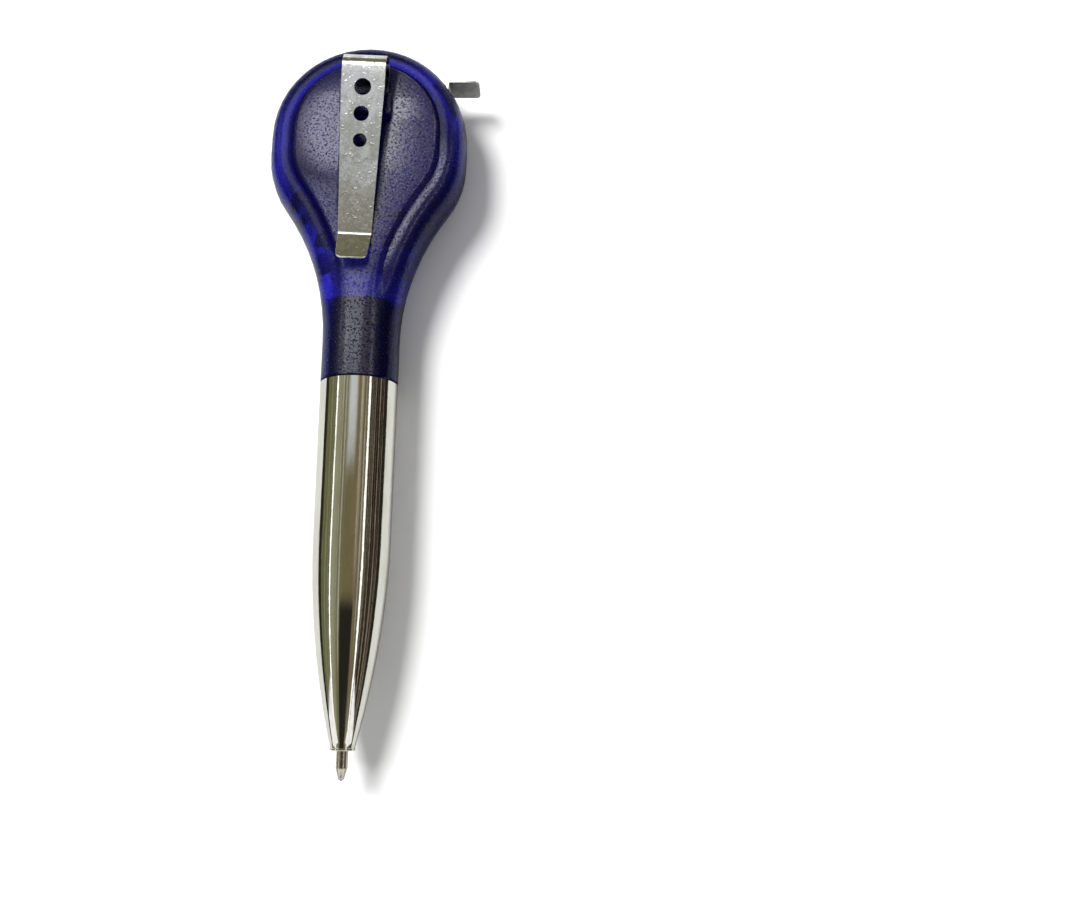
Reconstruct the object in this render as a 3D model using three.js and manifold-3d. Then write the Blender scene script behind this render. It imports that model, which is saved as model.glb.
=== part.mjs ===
// Tape measure pen: a twist-action ball pen whose round flat head holds a spring-wound tape measure.
// Millimetres. The pen lies on the flat front panel of its head. +Z is up, to the clip, +Y runs along
// the pen from the nib to the head, and the origin is on the resting panel, under the reel's axis.
// Inside the pen group, z = 0 is the mid-plane of the head, which holds the axis of the barrel.
import * as THREE from 'three';
import { mergeVertices } from 'three/addons/utils/BufferGeometryUtils.js';
import Module from 'manifold-3d';

// Clearances
const fit = 0.3; // gap between pieces that seat in, rest on or turn in each other
const thinFit = 0.1; // gap between the thin pieces at the end of the blade
const seam = 0.2; // parting line between the two shells
const overlap = 0.5; // how far bosses run into the wall that they stand on

// Tape and reel
const tapeLength = 1000; // blade that can be pulled out
const tapePitch = 0.12; // thickness that each wound turn adds
const bladeWidth = 6;
const bladeThickness = 0.2;
const arborRadius = 2;
const arborKey = 2.8; // side of the arbor's square ends
const arborKeyLength = 1.2;
const springHook = 0.9; // inner end of the power spring, inside the arbor's slot
const springTurns = 6;
const springStrip = 0.35; // thickness of the power spring's strip
const springEdgeGap = 0.4; // between the spring's edges and the drum's cheeks
const drumRadius = 13; // outside of the wall that the blade is wound on
const drumWall = 1;
const flangeLip = 0.8; // cheeks stand this far proud of the full roll
const flangeThickness = 0.8;
const coverRim = 0.8; // wall of the rim that centres the cover in the drum
const coverWindow = 1.6; // radius
const drumNotch = 2.4; // width of the notch for the spring's outer end
const drumNotchDepth = 0.7;

// Head shells
const shellWall = 1.5;
const reelRoom = 2.3; // between the cheeks and the inside of the head, round the rim
const reelSideRoom = 2.1; // between each cheek and the inside of a panel
const reelEndRoom = 1; // between the cheeks and the web under them
const sideRun = 4; // straight side between the round end and the shoulder
const shoulderRadius = 17;
const flankRadius = 45; // hollow curve from the shoulder into the neck
const rimWidth = 3.3; // round rim, from the outline to its crest
const crestWidth = 1;
const panelRise = 1; // panel above the rim's crest
const grooveWidth = 0.5; // from the crest down to the shallow groove before the panel
const grooveDepth = 0.18;
const panelRamp = 1.3; // from the groove up to the flat of the panel
const innerRound = 6; // width of the rounding inside the rim
const neckBlendStart = 24; // below the reel's axis the flat panel starts to turn into the round collar
const neckBlendLength = 15;
const chamberFloor = 1.5; // thickness of the web under the reel
const mouthRelief = 1; // blade's mouth, inward of the blade
const socketWall = 1; // round the arbor's sockets
const pinBossRadius = 1.7;
const pinRadius = 0.8;
const pinReach = 1.8; // pin beyond the parting line
const pinClear = 1; // between the pin bosses and the reel's running space
const upperPinAngle = 48; // degrees, upper pair of pins, down from straight across the reel
const neckPinDrop = 21.5; // lower pair of pins, below the reel's axis
const neckPinSpread = 7;

// Clip and its boss
const clipThickness = 0.4;
const clipTopWidth = 8.2;
const clipLipWidth = 5.9;
const clipBendDrop = 10; // centre of the top bend, above the reel's axis
const clipBendRadius = 2.65; // at mid-thickness
const clipToeDrop = 22.1; // low point of the arm, below the reel's axis
const clipLipLength = 5.9;
const clipLipAngle = 22; // degrees
const clipCorner = 0.8;
const clipBossCorner = 1;
const clipHoles = [3.15, 2.85, 2.55]; // diameters, from the top
const clipHoleTop = 5.6; // first hole, above the reel's axis
const clipHolePitch = 5;
const clipLean = 2; // degrees that the pushed-in clip sits off the pen's axis
const clipBossTop = 6.1; // boss, above the reel's axis
const clipBossLength = 4.3;
const clipBossWall = 0.5;
const clipBossRoof = 0.6;
const clipFlexRoom = 0.7; // above the clip's leg, so that the arm can be lifted
const clipLegInset = 3.1; // how far the leg reaches into the boss

// End hook
const hookThickness = 0.4;
const hookWidth = 6.2;
const hookReach = 6.45; // from the riveted leg to the tip
const hookLeg = 4.2; // length of the riveted leg
const hookBend = 0.6; // outside radius of its bend
const hookChamfer = 1.2;
const hookStandoff = 0.1; // hook above the mouth of the head
const rivetRadius = 0.5;
const rivetHead = 0.85;
const rivetHeadHeight = 0.3;
const rivetPitch = 2.8;
const rivetDrop = 2.6; // below the hook's plate

// Twist mechanism, from the inside out
const nibRadius = 1.05;
const stemRadius = 2.5;
const skirtWall = 1.2;
const sleeveWall = 0.7;
const spigotWall = 0.75;
const collarWall = 0.9;
const keySide = 6; // square key that holds the cam spindle in the neck
const keyLength = 4;
const keyDrop = 24; // top of the key, below the reel's axis
const spindleFlange = 8;
const spindleFlangeThickness = 1.2;
const skirtTopThickness = 1.2;
const twistTravel = 5.5; // refill's stroke over half a turn
const camApexRise = 5.3; // lowest point of the cam, above the collar's open end
const camGap = 0.42; // between cam and lug, enough for the lug's width on the slope
const lugHalfAngle = 10; // degrees
const lugLength = 6.2;
const stemRoom = 1; // above the follower's stem with the nib out of the way
const followerDisc = 2;
const followerKeyWidth = 1.7;
const followerKeyReach = 0.55; // keys beyond the sleeve's inside
const holderWall = 1.2; // socket in the follower for the refill
const holderDepth = 6;
const holderTop = 0.6; // the socket runs this far up into the follower's disc
const sleeveFlange = 0.8;
const sleeveLength = 26;
const slotRoom = 1; // slots, beyond the travel of the follower's keys

// Refill and barrel
const collarReach = 48.3; // reel's axis to the collar's open end
const spigotLength = 14.8;
const spigotChamfer = 0.5;
const ringWidth = 1.4;
const ringThickness = 0.4;
const ringDrop = 5; // ring groove, below the spigot's top
const barrelLength = 67;
const barrelStraight = 28; // length before the ogive begins
const barrelTaper = 0.15; // loss of radius along the straight length
const barrelWall = 1.1;
const noseWall = 0.7; // round the nib, at the barrel's tip
const noseLip = 0.25; // small bead at the barrel's tip
const noseLipLength = 0.5;
const springSeat = 3.8; // spring's seat, above the barrel's tip
const springBoreRoom = 0.5; // between the refill and the narrow bore that holds the spring
const boreStep = 1.5; // length of the step down into that bore
const nibReach = 5.2; // writing point beyond the barrel
const nibCone = 1.9;
const nibEndRadius = 0.52;
const ballRadius = 0.4;
const ballGap = 0.05;
const ballProud = 0.22;
const cupWall = 0.05; // least wall round the ball's socket
const refillRadius = 1.7;
const refillWall = 0.4;
const refillStub = 4; // nose and plug inside the tube
const noseFlange = 1;
const noseShaft = 15.5; // from the refill's shoulder to the barrel's tip, measured with the nib out
const plugCap = 0.6;
const coilWire = 0.2; // radius of the return spring's wire
const coilTurns = 6;

// Sizes worked out from those above
const rollRadius = Math.sqrt(drumRadius ** 2 + (tapeLength * tapePitch) / Math.PI);
const flangeRadius = rollRadius + flangeLip;
const flangeInner = bladeWidth / 2 + thinFit;
const flangeOuter = flangeInner + flangeThickness;
const headRadius = flangeRadius + reelRoom + shellWall;
const halfThickness = flangeOuter + reelSideRoom + shellWall;
const skirtInner = stemRadius + fit;
const skirtOuter = skirtInner + skirtWall;
const sleeveInner = skirtOuter + fit;
const sleeveOuter = sleeveInner + sleeveWall;
const spigotInner = sleeveOuter + fit;
const spigotRadius = spigotInner + spigotWall;
const collarBore = spigotRadius + fit;
const neckRadius = collarBore + collarWall;
const spigotTop = -(collarReach - spigotLength);
const barrelTop = -collarReach - fit;
const barrelTip = barrelTop - barrelLength;
const noseRadius = nibRadius + fit + noseWall;
const camApexDrop = collarReach - camApexRise;

const degrees = Math.PI / 180;
const wasm = await Module();
wasm.setup();

// A closed geometry as a solid that can be joined and cut. Triangles that close up at a pole go.
function toSolid(geometry) {
  const bare = geometry.clone();
  bare.deleteAttribute('normal');
  bare.deleteAttribute('uv');
  const merged = mergeVertices(bare, 1e-5);
  const index = merged.index.array;
  const kept = [];
  for (let i = 0; i < index.length; i += 3) {
    const [a, b, c] = [index[i], index[i + 1], index[i + 2]];
    if (a !== b && b !== c && c !== a) kept.push(a, b, c);
  }
  return new wasm.Manifold(new wasm.Mesh({
    numProp: 3,
    vertProperties: new Float32Array(merged.attributes.position.array),
    triVerts: new Uint32Array(kept),
  }));
}

function toGeometry(solid) {
  const mesh = solid.getMesh();
  const geometry = new THREE.BufferGeometry();
  geometry.setAttribute('position', new THREE.BufferAttribute(new Float32Array(mesh.vertProperties), 3));
  geometry.setIndex(new THREE.BufferAttribute(new Uint32Array(mesh.triVerts), 1));
  geometry.computeVertexNormals();
  return geometry;
}

function block(x, y, z) {
  const geometry = new THREE.BoxGeometry(x[1] - x[0], y[1] - y[0], z[1] - z[0]);
  geometry.translate((x[0] + x[1]) / 2, (y[0] + y[1]) / 2, (z[0] + z[1]) / 2);
  return toSolid(geometry);
}

// A solid of revolution about the pen's axis. The profile holds [radius, y] points: up the outside,
// then down the inside, or from the axis to the axis.
function turned(profile, sides) {
  const points = profile.map(([radius, y]) => new THREE.Vector2(radius, y));
  if (profile[0][0] > 0) points.push(points[0].clone());
  return toSolid(new THREE.LatheGeometry(points, sides));
}

// The same about the reel's axis, with [radius, z] points.
function turnedOnReel(profile, sides) {
  return turned(profile, sides).rotate([90, 0, 0]);
}

function postOnReel(radius, x, y, z, sides) {
  const profile = [[0, z[0]], [radius, z[0]], [radius, z[1]], [0, z[1]]];
  return turnedOnReel(profile, sides).translate([x, y, 0]);
}

function extruded(shape, from, to) {
  const settings = { depth: to - from, bevelEnabled: false, curveSegments: 8 };
  const geometry = new THREE.ExtrudeGeometry(shape, settings);
  geometry.translate(0, 0, from);
  return toSolid(geometry);
}

// Outline of a bent strip of even thickness, from the points of its middle line.
function stripShape(line, thickness) {
  const side = (sign) => line.map((point, i) => {
    const before = line[Math.max(i - 1, 0)];
    const after = line[Math.min(i + 1, line.length - 1)];
    const along = new THREE.Vector2().subVectors(after, before).normalize();
    const away = sign * thickness / 2;
    return new THREE.Vector2(point.x - along.y * away, point.y + along.x * away);
  });
  return new THREE.Shape([...side(1), ...side(-1).reverse()]);
}

function arcPoints(cx, cy, radius, from, to, steps) {
  return Array.from({ length: steps + 1 }, (_, i) => {
    const angle = (from + ((to - from) * i) / steps) * degrees;
    return new THREE.Vector2(cx + radius * Math.cos(angle), cy + radius * Math.sin(angle));
  });
}

function material(color, roughness, metalness, opacity = 1) {
  return new THREE.MeshStandardMaterial({ color, roughness, metalness, opacity, transparent: opacity < 1 });
}

const shellPlastic = material(0x22178f, 0.45, 0, 0.85);
const platedSteel = material(0xc9c8c0, 0.22, 1);
const chrome = material(0xd8d8d4, 0.06, 1);
const nickelSilver = material(0xb9b2a0, 0.25, 1);
const springSteel = material(0x8d9096, 0.35, 1);
const bladeEnamel = material(0xf1efe4, 0.5, 0.1);
const blackNylon = material(0x23232a, 0.55, 0);
const whiteAcetal = material(0xe4e2da, 0.5, 0);
const clearTube = material(0xd6dbe0, 0.3, 0, 0.6);
const rubber = material(0x1c1c1e, 0.85, 0);

const pen = new THREE.Group();
pen.position.z = halfThickness;

function add(name, solid, look, parent = pen) {
  const mesh = new THREE.Mesh(toGeometry(solid), look);
  mesh.name = name;
  parent.add(mesh);
  return mesh;
}

// Outline of head and collar: a round end about the reel, a straight side, a shoulder, a hollow flank
// that runs tangent into the collar, and the collar. Each point holds its outward normal. The left
// half mirrors the right, and the points run from the collar's left end over the top to its right end.
function headOutline() {
  const shoulderX = headRadius - shoulderRadius;
  const flankX = neckRadius + flankRadius;
  const centres = shoulderRadius + flankRadius;
  const flankFall = Math.sqrt(centres ** 2 - (flankX - shoulderX) ** 2);
  const sweep = Math.asin(flankFall / centres);
  const flankY = -sideRun - flankFall;
  const right = [];
  const onArc = (cx, cy, radius, nx, ny) => right.push({ x: cx + radius * nx, y: cy + radius * ny, nx, ny });
  const endSteps = 12;
  for (let i = 0; i <= endSteps; i++) {
    const angle = (Math.PI / 2) * (1 - i / endSteps);
    onArc(0, 0, headRadius, Math.cos(angle), Math.sin(angle));
  }
  const shoulderSteps = 5;
  for (let i = 0; i <= shoulderSteps; i++) {
    const angle = (-sweep * i) / shoulderSteps;
    onArc(shoulderX, -sideRun, shoulderRadius, Math.cos(angle), Math.sin(angle));
  }
  const flankSteps = 9;
  for (let i = 1; i <= flankSteps; i++) {
    const angle = -sweep * (1 - i / flankSteps);
    onArc(flankX, flankY, -flankRadius, Math.cos(angle), Math.sin(angle));
  }
  right.push({ x: neckRadius, y: -collarReach, nx: 1, ny: 0 });
  const left = right.slice(1).reverse().map((p) => ({ x: -p.x, y: p.y, nx: -p.nx, ny: p.ny }));
  return [...left, ...right];
}

// Height of the section over the mid-plane against the distance in from the outline. The head's
// section has the round rim, the groove and the raised panel, and the collar's is a half circle.
const rimCrest = halfThickness - panelRise;
const grooveInset = rimWidth + crestWidth + grooveWidth; // from the outline to the groove's floor
const outerHeadSection = [
  ...[0, 20, 40, 60, 80].map((a) => ({
    d: rimWidth * (1 - Math.cos(a * degrees)), z: rimCrest * Math.sin(a * degrees),
  })),
  { d: rimWidth, z: rimCrest },
  { d: rimWidth + crestWidth, z: rimCrest },
  { d: grooveInset, z: rimCrest - grooveDepth },
  { d: grooveInset + panelRamp * 0.38, z: rimCrest + panelRise * 0.42 },
  { d: grooveInset + panelRamp * 0.7, z: rimCrest + panelRise * 0.88 },
  { d: grooveInset + panelRamp, z: halfThickness },
];
const innerHeadSection = [0, 22, 44, 62, 76].map((a) => ({
  d: shellWall + innerRound * (1 - Math.cos(a * degrees)),
  z: (halfThickness - shellWall) * Math.sin(a * degrees),
}));

function blendedSection(headSection, depth, y) {
  const t = THREE.MathUtils.smoothstep(-y, neckBlendStart, neckBlendStart + neckBlendLength);
  const radius = neckRadius - depth;
  const last = headSection.length - 1;
  return headSection.map(({ d, z }, k) => {
    const angle = (k / last) * 82 * degrees;
    const neckD = depth + radius * (1 - Math.cos(angle));
    return { d: d + (neckD - d) * t, z: z + (radius * Math.sin(angle) - z) * t };
  });
}

// Closed half body over the outline: a grid of section points for each outline point, closed across
// from the left half to the right half, on the mid-plane side and at the collar's end.
function halfBody(headSection, depth, base) {
  const outline = headOutline();
  const columns = outline.length;
  const rows = headSection.length;
  const positions = [];
  for (const p of outline) {
    blendedSection(headSection, depth, p.y).forEach(({ d, z }, k) => {
      positions.push(p.x - p.nx * d, p.y - p.ny * d, k === 0 ? base : z);
    });
  }
  const at = (column, row) => column * rows + row;
  const index = [];
  const quad = (a, b, c, d) => index.push(a, b, c, a, c, d);
  for (let i = 0; i < columns - 1; i++) {
    for (let k = 0; k < rows - 1; k++) quad(at(i, k), at(i, k + 1), at(i + 1, k + 1), at(i + 1, k));
  }
  const across = (row, up) => {
    for (let i = 0; i < (columns - 1) / 2; i++) {
      const [a, b, c, d] = [at(i, row), at(i + 1, row), at(columns - 2 - i, row), at(columns - 1 - i, row)];
      const closes = b === c;
      if (up) index.push(a, d, b);
      else index.push(a, b, d);
      if (!closes && up) index.push(b, d, c);
      if (!closes && !up) index.push(b, c, d);
    }
  };
  across(rows - 1, true);
  across(0, false);
  for (let k = 0; k < rows - 1; k++) {
    quad(at(0, k), at(columns - 1, k), at(columns - 1, k + 1), at(0, k + 1));
  }
  const geometry = new THREE.BufferGeometry();
  geometry.setAttribute('position', new THREE.Float32BufferAttribute(positions, 3));
  geometry.setIndex(index);
  return toSolid(geometry);
}

// One half of the head, with its outside up. Both halves share the reel chamber, the webs in the neck,
// the arbor's socket, the blade's mouth and the bore that the barrel turns in.
const big = 100; // beyond every side of the pen
const past = 1; // cuts run this far past a face
const chamberEnd = -(flangeRadius + reelEndRoom);
const webTop = chamberEnd - chamberFloor;
const innerTop = innerHeadSection.at(-1).z;
const hookInside = rollRadius + bladeThickness / 2 + fit;
const hookPlateY = Math.sqrt(headRadius ** 2 - hookInside ** 2) + hookStandoff;
const mouth = { from: rollRadius - mouthRelief, to: hookInside + hookThickness + rivetHeadHeight + 2 * fit };
const pinCircle = flangeRadius + fit + pinBossRadius + pinClear;
const upperPin = new THREE.Vector2(pinCircle * Math.cos(upperPinAngle * degrees),
  -pinCircle * Math.sin(upperPinAngle * degrees));
const pinSpots = [-1, 1].flatMap((side) => [
  [side * upperPin.x, upperPin.y],
  [side * neckPinSpread, -neckPinDrop],
]);

function shellHalf() {
  const inside = halfBody(innerHeadSection, shellWall, 0);
  const rooms = [[chamberEnd, big], [-keyDrop, webTop], [-big, -(keyDrop + keyLength)]];
  const outside = halfBody(outerHeadSection, 0, seam / 2);
  let shell = outside;
  rooms.forEach(([from, to], i) => {
    const low = i === 2 ? spigotTop : from;
    shell = shell.subtract(inside.intersect(block([-big, big], [low, to], [-past, big])));
  });
  const bore = turned([[0, -big], [collarBore, -big], [collarBore, spigotTop + fit + sleeveFlange + fit],
    [0, spigotTop + fit + sleeveFlange + fit]], 36);
  const keyHole = keySide / 2 + fit;
  shell = shell
    .subtract(bore)
    .subtract(block([-keyHole, keyHole], [-(keyDrop + keyLength + past), -keyDrop + past], [-past, keyHole]))
    .subtract(block([mouth.from, mouth.to], [0, big], [-past, hookWidth / 2 + fit]));
  const socket = arborKey / 2 + fit;
  const socketTop = flangeOuter + fit + arborKeyLength + fit;
  shell = shell
    .add(postOnReel(socket * Math.SQRT2 + socketWall, 0, 0, [flangeOuter + fit, halfThickness - overlap], 24))
    .subtract(block([-socket, socket], [-socket, socket], [0, socketTop]));
  for (const [x, y] of pinSpots) {
    shell = shell.add(postOnReel(pinBossRadius, x, y, [seam / 2, innerTop + overlap], 12).intersect(outside));
  }
  return shell;
}

// Back shell: the half that carries the clip, with a socket in each pin boss and the clip's boss.
const panelZ = halfThickness;
const clipLegBottom = panelZ + fit;
const clipLegTop = clipLegBottom + clipThickness;
let backShell = shellHalf();
for (const [x, y] of pinSpots) {
  backShell = backShell.subtract(postOnReel(pinRadius + fit, x, y, [0, pinReach + fit], 12));
}
const pocketHalf = clipTopWidth / 2 + fit;
const bossHalf = pocketHalf + clipBossWall;
const bossRoofZ = clipLegTop + clipFlexRoom + clipBossRoof;
const bossOutline = new THREE.Shape();
const bossBottom = clipBossTop - clipBossLength;
bossOutline.moveTo(-bossHalf, clipBossTop);
bossOutline.lineTo(-bossHalf, bossBottom + clipBossCorner);
bossOutline.absarc(-bossHalf + clipBossCorner, bossBottom + clipBossCorner, clipBossCorner,
  Math.PI, 1.5 * Math.PI);
bossOutline.absarc(bossHalf - clipBossCorner, bossBottom + clipBossCorner, clipBossCorner,
  1.5 * Math.PI, 2 * Math.PI);
bossOutline.lineTo(bossHalf, clipBossTop);
backShell = backShell
  .add(extruded(bossOutline, panelZ - overlap, bossRoofZ))
  .subtract(block([-pocketHalf, pocketHalf], [clipBossTop - clipLegInset - fit, clipBossTop + past],
    [panelZ, clipLegTop + clipFlexRoom]));
add('back_shell', backShell, shellPlastic);

// Front shell: the half that the pen lies on, with the pins. It is the same half turned over.
let frontShell = shellHalf();
for (const [x, y] of pinSpots) {
  frontShell = frontShell.add(postOnReel(pinRadius, x, y, [-pinReach, seam], 12));
}
add('front_shell', frontShell.scale([1, 1, -1]), shellPlastic);

// Clip: one strip of sheet steel. Its leg is pushed into the boss, a bend takes it back over the panel,
// the arm falls to its toe, and the lip turns up again. The strip is extruded across the pen and cut
// to its tapered, round-cornered plan.
const clipLegZ = clipLegBottom + clipThickness / 2;
const clipBendZ = clipLegZ + clipBendRadius;
const clipToeZ = panelZ + fit + clipThickness / 2;
const clipRun = clipBendDrop + clipToeDrop;
const clipSlope = Math.atan2(clipBendZ + clipBendRadius - clipToeZ, clipRun) / degrees;
const clipLipEnd = -clipToeDrop - clipLipLength * Math.cos(clipLipAngle * degrees);
const clipLine = [
  new THREE.Vector2(clipBossTop - clipLegInset, clipLegZ),
  ...arcPoints(clipBendDrop, clipBendZ, clipBendRadius, -90, 90 + clipSlope, 14),
  new THREE.Vector2(-clipToeDrop + 0.6, clipToeZ + 0.6 * Math.tan(clipSlope * degrees)),
  new THREE.Vector2(-clipToeDrop - 0.3, clipToeZ),
  new THREE.Vector2(-clipToeDrop - 1, clipToeZ + 0.16),
  new THREE.Vector2(clipLipEnd, clipToeZ + clipLipLength * Math.sin(clipLipAngle * degrees)),
];
const clipTopEnd = clipBendDrop + clipBendRadius + clipThickness;
const clipPlan = new THREE.Shape();
clipPlan.moveTo(-clipTopWidth / 2, clipTopEnd);
clipPlan.lineTo(-clipTopWidth / 2, clipBossTop);
clipPlan.lineTo(-clipLipWidth / 2, clipLipEnd + clipCorner);
clipPlan.absarc(-clipLipWidth / 2 + clipCorner, clipLipEnd + clipCorner, clipCorner, Math.PI, 1.5 * Math.PI);
clipPlan.absarc(clipLipWidth / 2 - clipCorner, clipLipEnd + clipCorner, clipCorner,
  1.5 * Math.PI, 2 * Math.PI);
clipPlan.lineTo(clipTopWidth / 2, clipBossTop);
clipPlan.lineTo(clipTopWidth / 2, clipTopEnd);
let clip = extruded(stripShape(clipLine, clipThickness), -clipTopWidth / 2, clipTopWidth / 2)
  .rotate([90, 0, 0]).rotate([0, 0, 90])
  .intersect(extruded(clipPlan, 0, big));
clipHoles.forEach((diameter, i) => {
  const y = clipHoleTop - i * clipHolePitch;
  clip = clip.subtract(postOnReel(diameter / 2, 0, y, [clipLegTop + past, big], 20));
});
const clipGroup = new THREE.Group();
const clipPivotY = clipBossTop - clipLegInset / 2;
clipGroup.position.y = clipPivotY;
clipGroup.rotation.z = -clipLean * degrees;
pen.add(clipGroup);
add('clip', clip.translate([0, -clipPivotY, 0]), platedSteel, clipGroup);

// Reel arbor: fixed post with square ends and a slot across it for the spring's inner end.
const reel = new THREE.Group();
pen.add(reel);
const arborEnd = flangeOuter + fit;
const keyHalf = arborKey / 2;
const springSlot = springStrip + 2 * thinFit;
const springHalf = bladeWidth / 2 - springEdgeGap;
const arbor = postOnReel(arborRadius, 0, 0, [-arborEnd, arborEnd], 24)
  .add(block([-keyHalf, keyHalf], [-keyHalf, keyHalf],
    [-arborEnd - arborKeyLength, arborEnd + arborKeyLength]))
  .subtract(block([-springSlot / 2, springSlot / 2], [0, arborRadius + past],
    [-springHalf - fit, springHalf + fit]));
add('reel_arbor', arbor, nickelSilver, reel);

// Reel drum: one cheek and the wall that the blade is wound on, with a notch for the spring's outer end.
const drumInner = drumRadius - drumWall;
const notchHalf = drumNotch / 2;
const cheekBore = arborRadius + fit;
const drum = turnedOnReel([
  [cheekBore, -flangeOuter], [flangeRadius, -flangeOuter], [flangeRadius, -flangeInner],
  [drumRadius, -flangeInner], [drumRadius, flangeInner - fit], [drumInner, flangeInner - fit],
  [drumInner, -flangeInner], [cheekBore, -flangeInner],
], 40).subtract(block([-notchHalf, notchHalf], [drumInner - past, drumInner + drumNotchDepth],
  [-springHalf - fit, big]));
add('reel_drum', drum, blackNylon, reel);

// Reel cover: the second cheek, with three windows and a rim that centres it in the drum.
let cover = turnedOnReel([
  [cheekBore, flangeInner], [flangeRadius, flangeInner],
  [flangeRadius, flangeOuter], [cheekBore, flangeOuter],
], 40);
const rimOuter = drumInner - fit;
const rimInner = rimOuter - coverRim;
cover = cover.add(turnedOnReel([
  [rimInner, springHalf + thinFit], [rimOuter, springHalf + thinFit], [rimOuter, flangeInner + overlap],
  [rimInner, flangeInner + overlap],
], 40));
for (const turn of [0, 120, 240]) {
  const window = postOnReel(coverWindow, 0, (arborRadius + drumInner) / 2, [0, big], 16).rotate([0, 0, turn]);
  cover = cover.subtract(window);
}
add('reel_cover', cover, blackNylon, reel);

// Power spring: a flat strip wound in a spiral, with its inner end bent into the arbor's slot and its
// outer end bent into the drum's notch.
const spiralInner = arborRadius + fit + springStrip;
const spiralOuter = drumInner - fit - springStrip / 2;
const spiralSteps = 20; // for each turn
const spiralLine = [new THREE.Vector2(0, arborRadius - springHook), new THREE.Vector2(0, arborRadius)];
for (let i = 1; i <= springTurns * spiralSteps; i++) {
  const share = i / (springTurns * spiralSteps);
  const radius = spiralInner + (spiralOuter - spiralInner) * share;
  const angle = Math.PI / 2 + share * springTurns * 2 * Math.PI;
  spiralLine.push(new THREE.Vector2(radius * Math.cos(angle), radius * Math.sin(angle)));
}
spiralLine.push(new THREE.Vector2(-springStrip, drumInner + drumNotchDepth - fit));
add('power_spring', extruded(stripShape(spiralLine, springStrip), -springHalf, springHalf),
  springSteel, reel);

// Wound blade: a full ring on the drum whose outline is one turn of a spiral, because the last turn
// lies on the wound ones. The turn ends on the right, where the blade leaves straight up the pen.
const rollSteps = 40;
const rollStart = rollRadius - 2 * bladeThickness - thinFit;
const rollOutline = new THREE.Shape();
for (let i = 0; i <= rollSteps; i++) {
  const share = i / rollSteps;
  const radius = rollStart + (rollRadius + bladeThickness / 2 - rollStart) * share;
  const angle = 2 * Math.PI * share;
  if (i === 0) rollOutline.moveTo(radius, 0);
  else if (i < rollSteps) rollOutline.lineTo(radius * Math.cos(angle), radius * Math.sin(angle));
  else rollOutline.lineTo(radius, 0);
}
const rollInner = drumRadius + thinFit;
const tapeRoll = extruded(rollOutline, -bladeWidth / 2, bladeWidth / 2)
  .subtract(postOnReel(rollInner, 0, 0, [-bladeWidth, bladeWidth], 40));
add('tape_roll', tapeRoll, bladeEnamel, reel);

// Blade end: the straight run from the roll to the hook, drilled for the rivets.
const bladeX = [rollRadius - bladeThickness / 2, rollRadius + bladeThickness / 2];
const bladeEnd = hookPlateY - fit;
const rivetY = hookPlateY - rivetDrop;
const rivetSpots = [-rivetPitch / 2, rivetPitch / 2];
function crossPin(radius, x, z, sides) {
  const profile = [[0, x[0]], [radius, x[0]], [radius, x[1]], [0, x[1]]];
  return turned(profile, sides).rotate([0, 0, -90]).translate([0, rivetY, z]);
}
let lead = block(bladeX, [fit, bladeEnd], [-bladeWidth / 2, bladeWidth / 2]);
for (const z of rivetSpots) lead = lead.subtract(crossPin(rivetRadius + thinFit, [0, big], z, 12));
add('tape_lead', lead, bladeEnamel);

// End hook: a leg riveted to the blade and a plate that turns out square across the mouth.
const hookMid = hookInside + hookThickness / 2;
const hookPlateMid = hookPlateY + hookThickness / 2;
const hookMidBend = hookBend - hookThickness / 2;
const hookLine = [
  new THREE.Vector2(hookMid, hookPlateY - hookLeg),
  ...arcPoints(hookMid + hookMidBend, hookPlateMid - hookMidBend, hookMidBend, 180, 90, 5),
  new THREE.Vector2(hookInside + hookReach, hookPlateMid),
];
const hookTip = hookInside + hookReach;
const hookHalf = hookWidth / 2;
const cornerCut = new THREE.Shape([
  new THREE.Vector2(hookTip - hookChamfer, hookHalf), new THREE.Vector2(hookTip, hookHalf - hookChamfer),
  new THREE.Vector2(hookTip + 1, hookHalf - hookChamfer), new THREE.Vector2(hookTip + 1, hookHalf + 1),
  new THREE.Vector2(hookTip - hookChamfer, hookHalf + 1),
]);
let hook = extruded(stripShape(hookLine, hookThickness), -hookHalf, hookHalf);
const corner = extruded(cornerCut, -big, big).rotate([90, 0, 0]);
hook = hook.subtract(corner).subtract(corner.scale([1, 1, -1]));
for (const z of rivetSpots) hook = hook.subtract(crossPin(rivetRadius + thinFit, [0, big], z, 12));
add('end_hook', hook, platedSteel);

// Two rivets, each with a head on the hook's side and a flattened tail behind the blade.
const shank = [bladeX[0] - thinFit, hookInside + hookThickness + thinFit];
rivetSpots.forEach((z, i) => {
  const rivet = crossPin(rivetRadius, [shank[0] - rivetHeadHeight, shank[1] + rivetHeadHeight], z, 10)
    .add(crossPin(rivetHead, [shank[1], shank[1] + rivetHeadHeight], z, 10))
    .add(crossPin(rivetHead, [shank[0] - rivetHeadHeight, shank[0]], z, 10));
  add(`hook_rivet_${i + 1}`, rivet, nickelSilver);
});

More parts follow.
